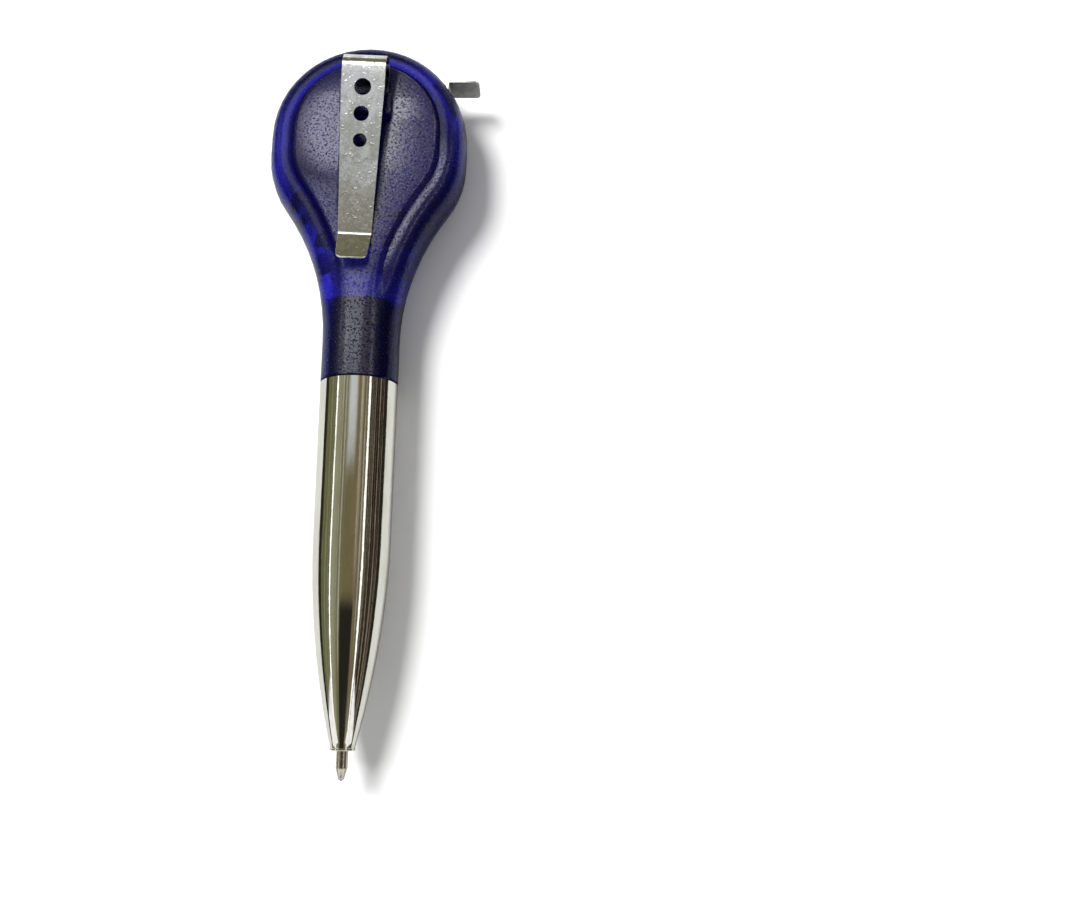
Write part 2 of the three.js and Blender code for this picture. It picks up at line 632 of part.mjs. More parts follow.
// A ring whose lower edge climbs from its apex, on top of the pen, to the far side by the cam's stroke.
function camSkirt(top, apex) {
  const steps = 36;
  const positions = [];
  for (let i = 0; i < steps; i++) {
    const angle = (i / steps) * 360;
    const turnFromApex = angle > 180 ? 360 - angle : angle;
    const edge = apex + (twistTravel * turnFromApex) / 180;
    const corners = [[skirtOuter, edge], [skirtOuter, top], [skirtInner, top], [skirtInner, edge]];
    for (const [radius, y] of corners) {
      positions.push(radius * Math.sin(angle * degrees), y, radius * Math.cos(angle * degrees));
    }
  }
  const index = [];
  for (let i = 0; i < steps; i++) {
    for (let k = 0; k < 4; k++) {
      const a = i * 4 + k;
      const b = i * 4 + ((k + 1) % 4);
      const c = ((i + 1) % steps) * 4 + k;
      const d = ((i + 1) % steps) * 4 + ((k + 1) % 4);
      index.push(a, c, b, b, c, d);
    }
  }
  const geometry = new THREE.BufferGeometry();
  geometry.setAttribute('position', new THREE.Float32BufferAttribute(positions, 3));
  geometry.setIndex(index);
  return toSolid(geometry);
}

// Cam spindle: keyed square in the neck's web between two flanges, with the cam skirt below it.
const keyBottom = -(keyDrop + keyLength);
const skirtTop = keyBottom - fit;
const flangeHalf = spindleFlange / 2;
const spindle = block([-keySide / 2, keySide / 2], [skirtTop - overlap, -keyDrop + fit + overlap],
  [-keySide / 2, keySide / 2])
  .add(block([-flangeHalf, flangeHalf], [-keyDrop + fit, -keyDrop + fit + spindleFlangeThickness],
    [-flangeHalf, flangeHalf]))
  .add(turned([[0, skirtTop - skirtTopThickness], [skirtOuter, skirtTop - skirtTopThickness],
    [skirtOuter, skirtTop], [0, skirtTop]], 36))
  .add(camSkirt(skirtTop - skirtTopThickness / 2, -camApexDrop));
add('cam_spindle', spindle, whiteAcetal);

// Cam follower: its lug rides on the cam's edge, its stem runs in the skirt, its two keys slide in the
// guide sleeve's slots, and the refill seats in the socket below.
const lugTip = -camApexDrop - camGap;
const discTop = lugTip - lugLength;
const discBottom = discTop - followerDisc;
const holderInner = refillRadius + fit;
const holderOuter = holderInner + holderWall;
const holderRoof = discBottom + holderTop;
const stemTop = skirtTop - skirtTopThickness - fit - twistTravel - stemRoom;
const lugShape = new THREE.Shape([
  ...arcPoints(0, 0, skirtInner + thinFit, 90 - lugHalfAngle, 90 + lugHalfAngle, 2),
  ...arcPoints(0, 0, skirtOuter - thinFit, 90 + lugHalfAngle, 90 - lugHalfAngle, 2),
]);
const lug = extruded(lugShape, discBottom, lugTip).rotate([90, 0, 0]).scale([1, -1, 1]);
const discRadius = skirtOuter - thinFit;
const keyReach = sleeveInner + followerKeyReach;
const follower = turned([
  [0, holderRoof], [holderInner, holderRoof], [holderInner, discBottom - holderDepth],
  [holderOuter, discBottom - holderDepth], [holderOuter, discBottom], [discRadius, discBottom],
  [discRadius, discTop], [stemRadius, discTop], [stemRadius, stemTop], [0, stemTop],
], 32)
  .add(lug)
  .add(block([-keyReach, -stemRadius], [discBottom, discTop], [-followerKeyWidth / 2, followerKeyWidth / 2]))
  .add(block([stemRadius, keyReach], [discBottom, discTop], [-followerKeyWidth / 2, followerKeyWidth / 2]));
add('cam_follower', follower, blackNylon);

// Guide sleeve: a flanged tube fixed in the barrel's spigot, with two slots for the follower's keys.
const sleeveTop = spigotTop + fit;
const sleeveSlot = followerKeyWidth / 2 + fit;
const slotY = [discBottom - slotRoom, discTop + twistTravel + slotRoom];
const sleeve = turned([
  [sleeveInner, sleeveTop - sleeveLength], [sleeveOuter, sleeveTop - sleeveLength], [sleeveOuter, sleeveTop],
  [spigotRadius, sleeveTop], [spigotRadius, sleeveTop + sleeveFlange],
  [sleeveInner, sleeveTop + sleeveFlange],
], 32).subtract(block([-big, big], slotY, [-sleeveSlot, sleeveSlot]));
add('guide_sleeve', sleeve, nickelSilver);

// Friction ring: seated in the spigot's groove, it drags lightly in the collar and holds the barrel in.
const ringTop = spigotTop - ringDrop;
const ringInner = spigotRadius + fit / 2 - ringThickness;
const grooveRadius = ringInner - fit / 2;
add('friction_ring', turned([
  [ringInner, ringTop - ringWidth], [ringInner + ringThickness, ringTop - ringWidth],
  [ringInner + ringThickness, ringTop], [ringInner, ringTop],
], 36), rubber);

// Barrel: a plated tube. Its outside runs nearly straight, then falls to the tip in one tangent arc,
// and its reduced top end is the spigot that turns in the collar.
const ogiveLength = barrelLength - barrelStraight;
const ogiveDrop = neckRadius - barrelTaper - noseRadius;
const ogiveRadius = (ogiveLength ** 2 + ogiveDrop ** 2) / (2 * ogiveDrop);
function barrelRadius(fromTop) {
  if (fromTop <= barrelStraight) return neckRadius - (barrelTaper * fromTop) / barrelStraight;
  const along = fromTop - barrelStraight;
  return neckRadius - barrelTaper - ogiveRadius + Math.sqrt(ogiveRadius ** 2 - along ** 2);
}
const ogiveSteps = 12;
const ogiveStations = Array.from({ length: ogiveSteps + 1 }, (_, i) => (
  barrelStraight + (ogiveLength - noseLipLength) * (i / ogiveSteps)));
const seatY = barrelTip + springSeat;
const springBore = refillRadius + springBoreRoom;
const nibBore = nibRadius + fit;
const insideStations = ogiveStations
  .map((fromTop) => [barrelRadius(fromTop) - barrelWall, barrelTop - fromTop])
  .filter(([radius, y]) => radius < spigotInner && radius > springBore && y > seatY + boreStep);
const barrelProfile = [
  [nibBore, barrelTip], [noseRadius + noseLip, barrelTip], [noseRadius + noseLip, barrelTip + noseLipLength],
  ...ogiveStations.map((fromTop) => [barrelRadius(fromTop), barrelTop - fromTop]).reverse(),
  [neckRadius, barrelTop], [spigotRadius, barrelTop],
  [spigotRadius, ringTop - ringWidth - fit], [grooveRadius, ringTop - ringWidth - fit],
  [grooveRadius, ringTop + fit], [spigotRadius, ringTop + fit],
  [spigotRadius, spigotTop - spigotChamfer], [spigotRadius - spigotChamfer, spigotTop],
  [spigotInner, spigotTop],
  [spigotInner, barrelTop - barrelStraight],
  ...insideStations,
  [springBore, insideStations.at(-1)[1] - boreStep], [springBore, seatY], [nibBore, seatY],
];
add('barrel', turned(barrelProfile, 36), chrome);

// Refill: tube, plug and metal nose, shown with the nib out.
const tubeTop = holderRoof - 2 * fit - plugCap;
const shoulderY = barrelTip + noseShaft - nibReach + fit;
const tubeInner = refillRadius - refillWall;
const stubRadius = tubeInner - fit;
const tubeBottom = shoulderY + noseFlange + fit;
add('refill_tube', turned([
  [tubeInner, tubeBottom], [refillRadius, tubeBottom], [refillRadius, tubeTop], [tubeInner, tubeTop],
], 20), clearTube);
add('refill_plug', turned([
  [0, tubeTop - refillStub], [stubRadius, tubeTop - refillStub], [stubRadius, tubeTop + fit],
  [refillRadius, tubeTop + fit], [refillRadius, tubeTop + fit + plugCap], [0, tubeTop + fit + plugCap],
], 20), whiteAcetal);

// Refill nose: a stub in the tube, a shoulder for the return spring and the point with the ball's socket.
const pointEnd = barrelTip - nibReach + ballProud;
const ballY = pointEnd - ballProud + ballRadius;
const cupRadius = ballRadius + ballGap;
const lipRadius = Math.sqrt(cupRadius ** 2 - (ballY - pointEnd) ** 2);
const cup = Array.from({ length: 7 }, (_, i) => {
  const low = Math.asin((pointEnd - ballY) / cupRadius);
  const angle = low + ((Math.PI / 2 - low) * (6 - i)) / 6;
  return [i === 0 ? 0 : cupRadius * Math.cos(angle), ballY + cupRadius * Math.sin(angle)];
});
const nose = turned([
  ...cup, [Math.max(nibEndRadius, lipRadius + cupWall), pointEnd], [nibRadius, pointEnd + nibCone],
  [nibRadius, shoulderY], [refillRadius, shoulderY], [refillRadius, shoulderY + noseFlange],
  [stubRadius, shoulderY + noseFlange], [stubRadius, shoulderY + noseFlange + refillStub],
  [0, shoulderY + noseFlange + refillStub],
], 20);
add('refill_nose', nose, nickelSilver);
const ball = toSolid(new THREE.SphereGeometry(ballRadius, 12, 8)).translate([0, ballY, 0]);
add('nib_ball', ball, nickelSilver);

// Return spring: a helix round the nose, between the barrel's seat and the refill's shoulder.
class Helix extends THREE.Curve {
  constructor(radius, from, to, turns) {
    super();
    Object.assign(this, { radius, from, to, turns });
  }

  getPoint(t, target = new THREE.Vector3()) {
    const angle = t * this.turns * 2 * Math.PI;
    return target.set(this.radius * Math.cos(angle), this.from + (this.to - this.from) * t,
      this.radius * Math.sin(angle));
  }
}
const coilRadius = nibRadius + fit + coilWire;
const coil = new Helix(coilRadius, seatY + fit + coilWire, shoulderY - fit - coilWire, coilTurns);
const wireSection = new THREE.Shape(arcPoints(0, 0, coilWire, 0, 288, 4));
const coilGeometry = new THREE.ExtrudeGeometry(wireSection, {
  steps: coilTurns * 8, bevelEnabled: false, extrudePath: coil,
});
add('return_spring', toSolid(coilGeometry), springSteel);
const coilPitch = (coil.to - coil.from) / coilTurns;
console.log(`return spring: least gap between turns ${(coilPitch - 2 * coilWire).toFixed(2)} mm`);

export default pen;
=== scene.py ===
import math

import bmesh
import bpy
from mathutils import Matrix, Vector


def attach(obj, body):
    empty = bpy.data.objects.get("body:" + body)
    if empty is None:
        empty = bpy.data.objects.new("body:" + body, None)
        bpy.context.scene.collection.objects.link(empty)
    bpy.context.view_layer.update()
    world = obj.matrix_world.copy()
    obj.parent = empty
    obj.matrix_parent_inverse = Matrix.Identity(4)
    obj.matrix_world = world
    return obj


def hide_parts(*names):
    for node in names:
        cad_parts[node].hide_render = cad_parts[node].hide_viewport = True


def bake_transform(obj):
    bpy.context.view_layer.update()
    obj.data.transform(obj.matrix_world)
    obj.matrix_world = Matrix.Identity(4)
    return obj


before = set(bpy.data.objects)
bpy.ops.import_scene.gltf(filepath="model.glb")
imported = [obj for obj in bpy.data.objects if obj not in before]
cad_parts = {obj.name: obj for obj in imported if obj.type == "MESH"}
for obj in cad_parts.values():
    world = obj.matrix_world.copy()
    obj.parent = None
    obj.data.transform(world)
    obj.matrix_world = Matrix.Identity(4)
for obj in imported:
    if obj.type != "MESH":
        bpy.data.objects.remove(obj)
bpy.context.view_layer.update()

# Barrel: a thin brass tube, turned, drawn down to the tip and plated to a mirror. Its reduced top end is
# the spigot that turns in the collar, with a groove for the friction ring, and a small bead is rolled at
# the tip.
MM = 0.001  # sizes are in millimetres, with x across the pen, y along it towards the head, and z up
AXIS_HEIGHT = 7.5  # of the pen's axis above the face that it rests on

BARREL_TOP = -48.6  # the rim that closes against the collar
BARREL_TIP = -115.6
BARREL_RADIUS = 7.25
BARREL_WALL = 1.1
STRAIGHT_LENGTH = 28.0  # the upper part, which only tapers a little
STRAIGHT_LOSS = 0.15  # of radius, over that part
TIP_RADIUS = 2.05
TIP_BORE = 1.35
BEAD_STANDOUT = 0.25
BEAD_HEIGHT = 0.46
BEAD_LENGTH = 0.5  # with the crease above it
ROUNDING = 0.12  # of the bead and the rim
SPIGOT_TOP = -33.5
SPIGOT_RADIUS = 6.05
SPIGOT_BORE = 5.3
SPIGOT_CHAMFER = 0.5
RING_TOP = -38.2  # the friction ring's groove
RING_BOTTOM = -40.2
RING_FLOOR = 5.65
SPRING_SEAT = -111.8
SPRING_BORE = 2.2
SPRING_BORE_LEAD = 1.5  # the slope that leads into the spring's bore
CRISP = math.radians(20)  # edges that turn more than this aren't shaded as curves
WELD_DISTANCE = 1e-7  # metres


class Reading:
    """One value that changes over a surface. Sums and products of readings become Math nodes."""

    def __init__(self, graph, socket):
        self.graph, self.socket = graph, socket

    def math(self, operation, *values):
        return self.graph.node("ShaderNodeMath", {"operation": operation}, dict(enumerate(values)))

    def __add__(self, other):
        return self.math("ADD", self, other)

    def __radd__(self, other):
        return self.math("ADD", other, self)

    def __sub__(self, other):
        return self.math("SUBTRACT", self, other)

    def __rsub__(self, other):
        return self.math("SUBTRACT", other, self)

    def __mul__(self, other):
        return self.math("MULTIPLY", self, other)

    def __rmul__(self, other):
        return self.math("MULTIPLY", other, self)

    def __truediv__(self, other):
        return self.math("DIVIDE", self, other)

    def __abs__(self):
        return self.math("ABSOLUTE", self)

    def __lt__(self, other):
        return self.math("LESS_THAN", self, other)

    def __gt__(self, other):
        return self.math("GREATER_THAN", self, other)

    def root(self):
        return self.math("SQRT", self)

    def fraction(self):
        return self.math("FRACT", self)

    def largest(self, *others):
        """The largest of this reading and the others, at each place."""
        found = self
        for other in others:
            found = self.math("MAXIMUM", found, other)
        return found

    def ramp(self, low, high):
        """0 below low, 1 above high, and a soft step between them."""
        return self.graph.node("ShaderNodeMapRange", {"interpolation_type": "SMOOTHSTEP", "clamp": True},
                               {0: self, 1: low, 2: high, 3: 0.0, 4: 1.0})

    def fall(self, low, high):
        """1 below low, 0 above high, and a soft step between them."""
        return (0.0 - self).ramp(-high, -low)


class Graph:
    """The nodes of one material or of the world."""

    def __init__(self, tree):
        self.tree = tree

    def node(self, kind, settings=None, sockets=None, output=0):
        """A new node with its settings and then its sockets set. One of its outputs is returned."""
        made = self.tree.nodes.new(kind)
        for name, value in (settings or {}).items():
            if name == "stops":
                for place, (position, colour) in enumerate(value):
                    elements = made.color_ramp.elements
                    stop = elements[place] if place < len(elements) else elements.new(position)
                    stop.position, stop.color = position, (*colour, 1.0)
            else:
                setattr(made, name, value)
        for name, value in (sockets or {}).items():
            self.feed(made.inputs[name], value)
        return Reading(self, made.outputs[output])

    def feed(self, socket, value):
        """Links a reading to a socket, or sets a plain number or colour on it."""
        if isinstance(value, Reading):
            self.tree.links.new(value.socket, socket)
        elif socket.type == "RGBA" and len(value) == 3:
            socket.default_value = (*value, 1.0)
        else:
            socket.default_value = value

    def place(self, per_metre=(1.0, 1.0, 1.0)):
        """Object coordinates, counted in so many units a metre across, along and up."""
        point = self.node("ShaderNodeTexCoord", output="Object")
        return self.node("ShaderNodeMapping", {"vector_type": "TEXTURE"},
                         {0: point, 3: tuple(1 / count for count in per_metre)})

    def axes(self, unit=MM):
        """The place across, along and up, as three readings in millimetres or another unit."""
        split = self.node("ShaderNodeSeparateXYZ", {}, {0: self.place((1 / unit,) * 3)})
        return [Reading(self, output) for output in split.socket.node.outputs]

    def noise(self, per_metre, detail=3.0, roughness=0.5):
        """Smooth noise, with about so many swells a metre across, along and up."""
        return self.node("ShaderNodeTexNoise", {}, {"Vector": self.place(per_metre), "Scale": 1.0,
                                                    "Detail": detail, "Roughness": roughness})

    def mix(self, mask, first, second):
        """Colour that goes from first to second as mask goes from 0 to 1."""
        return self.node("ShaderNodeMix", {"data_type": "RGBA"}, {0: mask, 6: first, 7: second}, 2)

    def bump(self, height, distance, strength):
        sockets = {"Height": height, "Distance": distance, "Strength": strength}
        return self.node("ShaderNodeBump", {}, sockets)


class Finish(Graph):
    """A material with one Principled shader, whose sockets are set by name."""

    def __init__(self, name, **sockets):
        self.material = bpy.data.materials.new(name)
        self.material.use_nodes = True
        super().__init__(self.material.node_tree)
        self.shader = self.tree.nodes["Principled BSDF"]
        self.set(**sockets)

    def set(self, **sockets):
        for name, value in sockets.items():
            self.feed(self.shader.inputs[name.replace("_", " ")], value)


def in_scene(name, data):
    """A new object at the origin that shows a mesh, a lamp or a camera."""
    made = bpy.data.objects.new(name, data)
    bpy.context.scene.collection.objects.link(made)
    return made


def piece(name, mesh, body, finish, replaced=()):
    """Puts a finished bmesh into the scene as one piece of the pen. A piece without a body is blended
    between two bodies by its own section."""
    data = bpy.data.meshes.new(name)
    bmesh.ops.remove_doubles(mesh, verts=mesh.verts, dist=WELD_DISTANCE)
    bmesh.ops.recalc_face_normals(mesh, faces=mesh.faces)
    mesh.to_mesh(data)
    mesh.free()
    data.polygons.foreach_set("use_smooth", [True] * len(data.polygons))
    data.set_sharp_from_angle(angle=CRISP)
    data.materials.append(finish.material)
    made = in_scene(name, data)
    if replaced:
        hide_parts(*replaced)
    if body:
        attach(made, body)
    return made


def break_edges(mesh, size, sharper=math.radians(35)):
    """Takes the sharpness off every edge that turns more than a limit. Size is in the mesh's own unit."""
    edges = [e for e in mesh.edges if len(e.link_faces) == 2 and e.calc_face_angle() > sharper]
    bmesh.ops.bevel(mesh, geom=edges, offset=size, offset_type="OFFSET", segments=2,
                    profile=0.5, affect="EDGES", material=-1, clamp_overlap=True)


def turned(profile, steps, soft_edge=0.0):
    """A body of revolution about the pen's axis from [radius, y] points in millimetres. A profile that
    starts off the axis is a closed ring, and sharp turned edges are broken by soft_edge."""
    mesh = bmesh.new()
    centre = Vector((0, 0, AXIS_HEIGHT * MM))
    points = [mesh.verts.new((radius * MM, y * MM, centre.z)) for radius, y in profile]
    for one, next_one in zip(points, points[1:]):
        mesh.edges.new((one, next_one))
    if profile[0][0] > 0:
        mesh.edges.new((points[-1], points[0]))
    bmesh.ops.spin(mesh, geom=mesh.verts[:] + mesh.edges[:], cent=centre, axis=(0, 1, 0),
                   angle=2 * math.pi, steps=steps, use_merge=True)
    bmesh.ops.remove_doubles(mesh, verts=mesh.verts, dist=WELD_DISTANCE)
    bmesh.ops.recalc_face_normals(mesh, faces=mesh.faces)
    if soft_edge:
        break_edges(mesh, soft_edge * MM)
    return mesh


def barrel_radius(from_top):
    """Outside radius: a slight straight taper, and then one arc down to the tip."""
    if from_top <= STRAIGHT_LENGTH:
        return BARREL_RADIUS - STRAIGHT_LOSS * from_top / STRAIGHT_LENGTH
    length = BARREL_TOP - BARREL_TIP - STRAIGHT_LENGTH
    start = BARREL_RADIUS - STRAIGHT_LOSS
    drop = start - TIP_RADIUS
    arc = (length ** 2 + drop ** 2) / (2 * drop)
    return start - arc + math.sqrt(arc ** 2 - (from_top - STRAIGHT_LENGTH) ** 2)


bead_radius = TIP_RADIUS + BEAD_STANDOUT
bead_top = BARREL_TIP + BEAD_HEIGHT
above_bead = BARREL_TOP - BARREL_TIP - BEAD_LENGTH
stations = [above_bead - above_bead * i / 72 for i in range(73)]  # from the bead up to the rim
inside = [(barrel_radius(s) - BARREL_WALL, BARREL_TOP - s) for s in reversed(stations)
          if s > STRAIGHT_LENGTH and SPRING_BORE < barrel_radius(s) - BARREL_WALL < SPIGOT_BORE]
barrel_profile = [
    (TIP_BORE, BARREL_TIP), (bead_radius - ROUNDING, BARREL_TIP), (bead_radius, BARREL_TIP + ROUNDING),
    (bead_radius, bead_top - ROUNDING), (bead_radius - ROUNDING, bead_top),
    *[(barrel_radius(s), BARREL_TOP - s) for s in stations[:-1]],
    (BARREL_RADIUS, BARREL_TOP - ROUNDING), (BARREL_RADIUS - ROUNDING, BARREL_TOP),
    (SPIGOT_RADIUS, BARREL_TOP), (SPIGOT_RADIUS, RING_BOTTOM), (RING_FLOOR, RING_BOTTOM),
    (RING_FLOOR, RING_TOP), (SPIGOT_RADIUS, RING_TOP), (SPIGOT_RADIUS, SPIGOT_TOP - SPIGOT_CHAMFER),
    (SPIGOT_RADIUS - SPIGOT_CHAMFER, SPIGOT_TOP), (SPIGOT_BORE, SPIGOT_TOP),
    (SPIGOT_BORE, BARREL_TOP - STRAIGHT_LENGTH), *inside, (SPRING_BORE, inside[-1][1] - SPRING_BORE_LEAD),
    (SPRING_BORE, SPRING_SEAT), (TIP_BORE, SPRING_SEAT),
]

chrome = Finish("barrel chrome", Metallic=1.0, IOR=2.5)
handled = chrome.noise((420, 110, 420), 5.0, 0.65)
drawn = chrome.noise((1500, 60, 1500), 3.0, 0.6)
specks = chrome.noise((1900, 1100, 1900), 2.0).ramp(0.70, 0.78)
spigot_dull_shade = chrome.axes()[1] > BARREL_TOP + 0.05  # the spigot is dull, and its dark colour is painted shade that stands for the dark inside the collar; the rim stays bright
plated = chrome.mix(handled.ramp(0.42, 0.68), (0.88, 0.87, 0.83), (0.78, 0.765, 0.71))
chrome.set(
    Base_Color=chrome.mix(spigot_dull_shade, plated, (0.16, 0.15, 0.13)),
    Roughness=0.04 + 0.40 * spigot_dull_shade + 0.08 * handled.ramp(0.45, 0.75) + 0.14 * specks,
    Normal=chrome.bump(handled + 0.5 * drawn + 0.15 * specks, 0.03 * MM, 0.3),
)
piece("plated_barrel", turned(barrel_profile, 128), "barrel", chrome, ("barrel",))

# Friction ring: a flat ring of black rubber in the spigot's groove, which drags in the collar.
# Guide sleeve: a slotted tube of nickel silver, pressed into the spigot, that turns the cam follower.
FACET_LIMIT = math.radians(32)  # a CAD node's facets that turn less than this stand for a curve
FACET_WELD = 1e-6  # metres

seal = Finish("seal rubber", Roughness=0.75)
rubber_grain = seal.noise((3000, 3000, 3000))
seal.set(Base_Color=seal.mix(rubber_grain, (0.012, 0.012, 0.013), (0.03, 0.03, 0.031)),
         Normal=seal.bump(rubber_grain, 0.02 * MM, 0.4))

nickel = Finish("nickel silver", Metallic=1.0)
lathe_marks = nickel.noise((300, 16000, 300), 2.0)
nickel.set(Base_Color=nickel.mix(lathe_marks, (0.66, 0.62, 0.54), (0.56, 0.52, 0.45)),
           Roughness=0.16 + 0.16 * lathe_marks, Normal=nickel.bump(lathe_marks, 0.006 * MM, 0.5))


def dress(node, finish):
    """Gives a CAD node its finish, and shades its facets as the curves that they stand for."""
    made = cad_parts[node]
    made.data.polygons.foreach_set("use_smooth", [True] * len(made.data.polygons))
    joined = made.modifiers.new("join facets", "WELD")
    joined.merge_threshold = FACET_WELD
    crisp = made.modifiers.new("keep edges", "EDGE_SPLIT")
    crisp.split_angle = FACET_LIMIT
    if made.material_slots:
        made.material_slots[0].material = finish.material
    else:
        made.data.materials.append(finish.material)


dress("friction_ring", seal)
dress("guide_sleeve", nickel)

# Head shells: two mouldings of frosted, tinted plastic that meet on the pen's mid-plane. The back one
# carries the raised panel that is seen and the clip's boss, and the front one is the resting face.
# Both hold the reel, the cam spindle and the barrel's spigot between them.
SHADED_BLUE = (0.009, 0.007, 0.22)  # painted shade: the deeper blue of the rims and other ungrained parts, over the dark reel
LIT_BLUE = (0.045, 0.037, 0.74)  # painted light: the lighter blue where light comes through, under the grain and down the neck
COLLAR_SHADE_BLUE = (0.004, 0.003, 0.15)  # painted shade on the collar, where the spigot stands close behind the wall

shell = Finish("frosted blue plastic", IOR=1.27, Transmission_Weight=0.92, Specular_IOR_Level=0.02,
               Coat_Roughness=0.22, Coat_IOR=2.2)
cells = shell.node("ShaderNodeTexVoronoi", {"feature": "SMOOTH_F1"},
                   {"Vector": shell.place(), "Scale": 1900.0, "Smoothness": 0.3, "Randomness": 1.0})
fine = shell.noise((2600, 2600, 2600), 2.0, 0.7)
tint = shell.noise((60, 60, 60), 2.0)
across, along, up = shell.axes()

# The mould is grained on the raised panel, down the middle of the neck and, faintly, on the crest at the
# right. The panel's upper left rim is smooth. The strip under the clip and just beside it is smooth,
# without sheen and in the deeper blue: a painted shadow of the clip.
grained_side = (across * across + along * along).root().fall(9.0, 14.6).largest(
    across.ramp(-2.0, 2.0), along.fall(-14.0, -8.0))
clip_shadow = across.ramp(-5.0, -4.5) * (0.105 * along - across).ramp(-5.1, -4.4) * along.ramp(-18.5, -15.0)
on_panel = up.ramp(14.6, 15.0) * grained_side * (1.0 - clip_shadow)
on_neck = along.fall(-30.0, -24.0) * abs(across).fall(1.6, 4.8)
on_right_crest = 0.45 * across.ramp(0.0, 2.0) * along.fall(-8.0, 0.0) * up.ramp(12.8, 14.0)
grained = on_panel.largest(on_neck, on_right_crest)
glint = (0.66 + 0.34 * across.ramp(-4.0, 4.0)).largest(on_neck)  # less coat, and so less sheen, on the left side: this evens out the window's reflection between the sides

# Painted light and shade in the blue: lighter on the grained panel and down the neck past the reel, deeper
# on the rims. The slow noise adds a random tone.
past_reel = along.fall(-30.0, -14.0)
# Painted shade: the collar, over the spigot, is darkened.
collar_shade = along.fall(-33.7, -33.1)
tone_and_painted_light = shell.mix((0.3 * tint + 0.7 * grained).largest(0.55 * past_reel), SHADED_BLUE, LIT_BLUE)
shell.set(
    Base_Color=shell.mix(collar_shade, tone_and_painted_light, COLLAR_SHADE_BLUE),
    Roughness=0.18 + 0.14 * fine,
    Coat_Weight=(fine + 0.3 * cells).ramp(0.52, 0.66) * grained * glint + 0.04,
    Normal=shell.bump((cells + fine) * (0.3 + 0.3 * grained), 0.12 * MM, 0.8),
)
dress("back_shell", shell)
dress("front_shell", shell)

# Clip: one strip of plated spring steel, cut flat, pierced with three holes and folded. Its short leg is
# pushed into the boss, a round bend brings it back over the panel, and the toe turns up in a lip.
# The plating is bright, handled and finely scratched along its length.
CLIP_PIVOT_Y = 4.55
CLIP_LEAN = math.radians(-2)  # seen from above, about the pivot
LEG_FOOT = (3.0, 15.5)  # y and z of the short leg's end, at the middle of the sheet
LEG_LENGTH = 7.0
CLIP_SHEET = 0.4
BEND_RADIUS = 2.65
SLOPE = math.atan2(5.3, 32.1)  # the long arm comes down to the panel by this
ARM_LENGTH = 31.4
TOE_RADIUS = 1.7
TOE_TURN = SLOPE + math.radians(22)
LIP_LENGTH = 5.3
HALF_ARM, HALF_LIP = 4.1, 2.95  # half the width at the top bend and at the lip's end
EVEN_LENGTH = 3.9  # of the arm that keeps its full width
LIP_CORNER = 1.15
HOLES = [(5.6, 1.575), (0.6, 1.425), (-4.4, 1.275)]  # y on the pen, radius
ARM_START_Y = 9.57  # where the top bend ends


def rounded_strip(right_side, half_end, length, corner, steps):
    """The outline of a flat blank: from its foot up the right side, round its end and down the left."""
    angles = [math.pi / 2 * i / steps for i in range(steps + 1)]
    right = right_side + [(half_end - corner + corner * math.cos(a), length - corner + corner * math.sin(a))
                          for a in angles]
    return right + [(-across, along) for across, along in reversed(right)]


def folded_sheet(outline, holes, folds, thickness, cuts, place, soft_edge):
    """A sheet part. The outline and the holes are cut in the flat blank, whose points are [across,
    along] in millimetres. Folds are (start, radius, angle) along the blank, cuts are the lines that
    let it bend, and place is the matrix that puts a folded point [across, forward, up] on the pen."""
    mesh = bmesh.new()
    corners = [mesh.verts.new((across, along, 0)) for across, along in outline]
    for pair in zip(corners, corners[1:] + corners[:1]):
        mesh.edges.new(pair)
    for across, along, radius in holes:
        bmesh.ops.create_circle(mesh, cap_ends=False, segments=40, radius=radius,
                                matrix=Matrix.Translation((across, along, 0)))
    bmesh.ops.triangle_fill(mesh, use_beauty=True, use_dissolve=False, edges=mesh.edges[:])
    for along in cuts:
        bmesh.ops.bisect_plane(mesh, geom=mesh.verts[:] + mesh.edges[:] + mesh.faces[:],
                               plane_co=(0, along, 0), plane_no=(0, 1, 0))
    bmesh.ops.recalc_face_normals(mesh, faces=mesh.faces)
    for corner in mesh.verts:
        across, along, _ = corner.co
        forward, up, heading, done = 0.0, 0.0, 0.0, 0.0
        for start, radius, turn in folds:
            run = min(along, start) - done
            forward, up = forward + run * math.cos(heading), up + run * math.sin(heading)
            done += run
            if along <= start:
                break
            side = 1 if turn > 0 else -1
            bent = min((along - start) / radius, abs(turn))
            forward += radius * side * (math.sin(heading + side * bent) - math.sin(heading))
            up -= radius * side * (math.cos(heading + side * bent) - math.cos(heading))
            heading += side * bent
            done = start + bent * radius
        rest = along - done
        corner.co = (across, forward + rest * math.cos(heading), up + rest * math.sin(heading))
    mesh.normal_update()
    for corner in mesh.verts:
        corner.co += corner.normal * thickness / 2
    bmesh.ops.solidify(mesh, geom=mesh.faces[:], thickness=thickness)
    bmesh.ops.recalc_face_normals(mesh, faces=mesh.faces)
    break_edges(mesh, soft_edge, math.radians(60))
    bmesh.ops.transform(mesh, matrix=place, verts=mesh.verts)
    return mesh


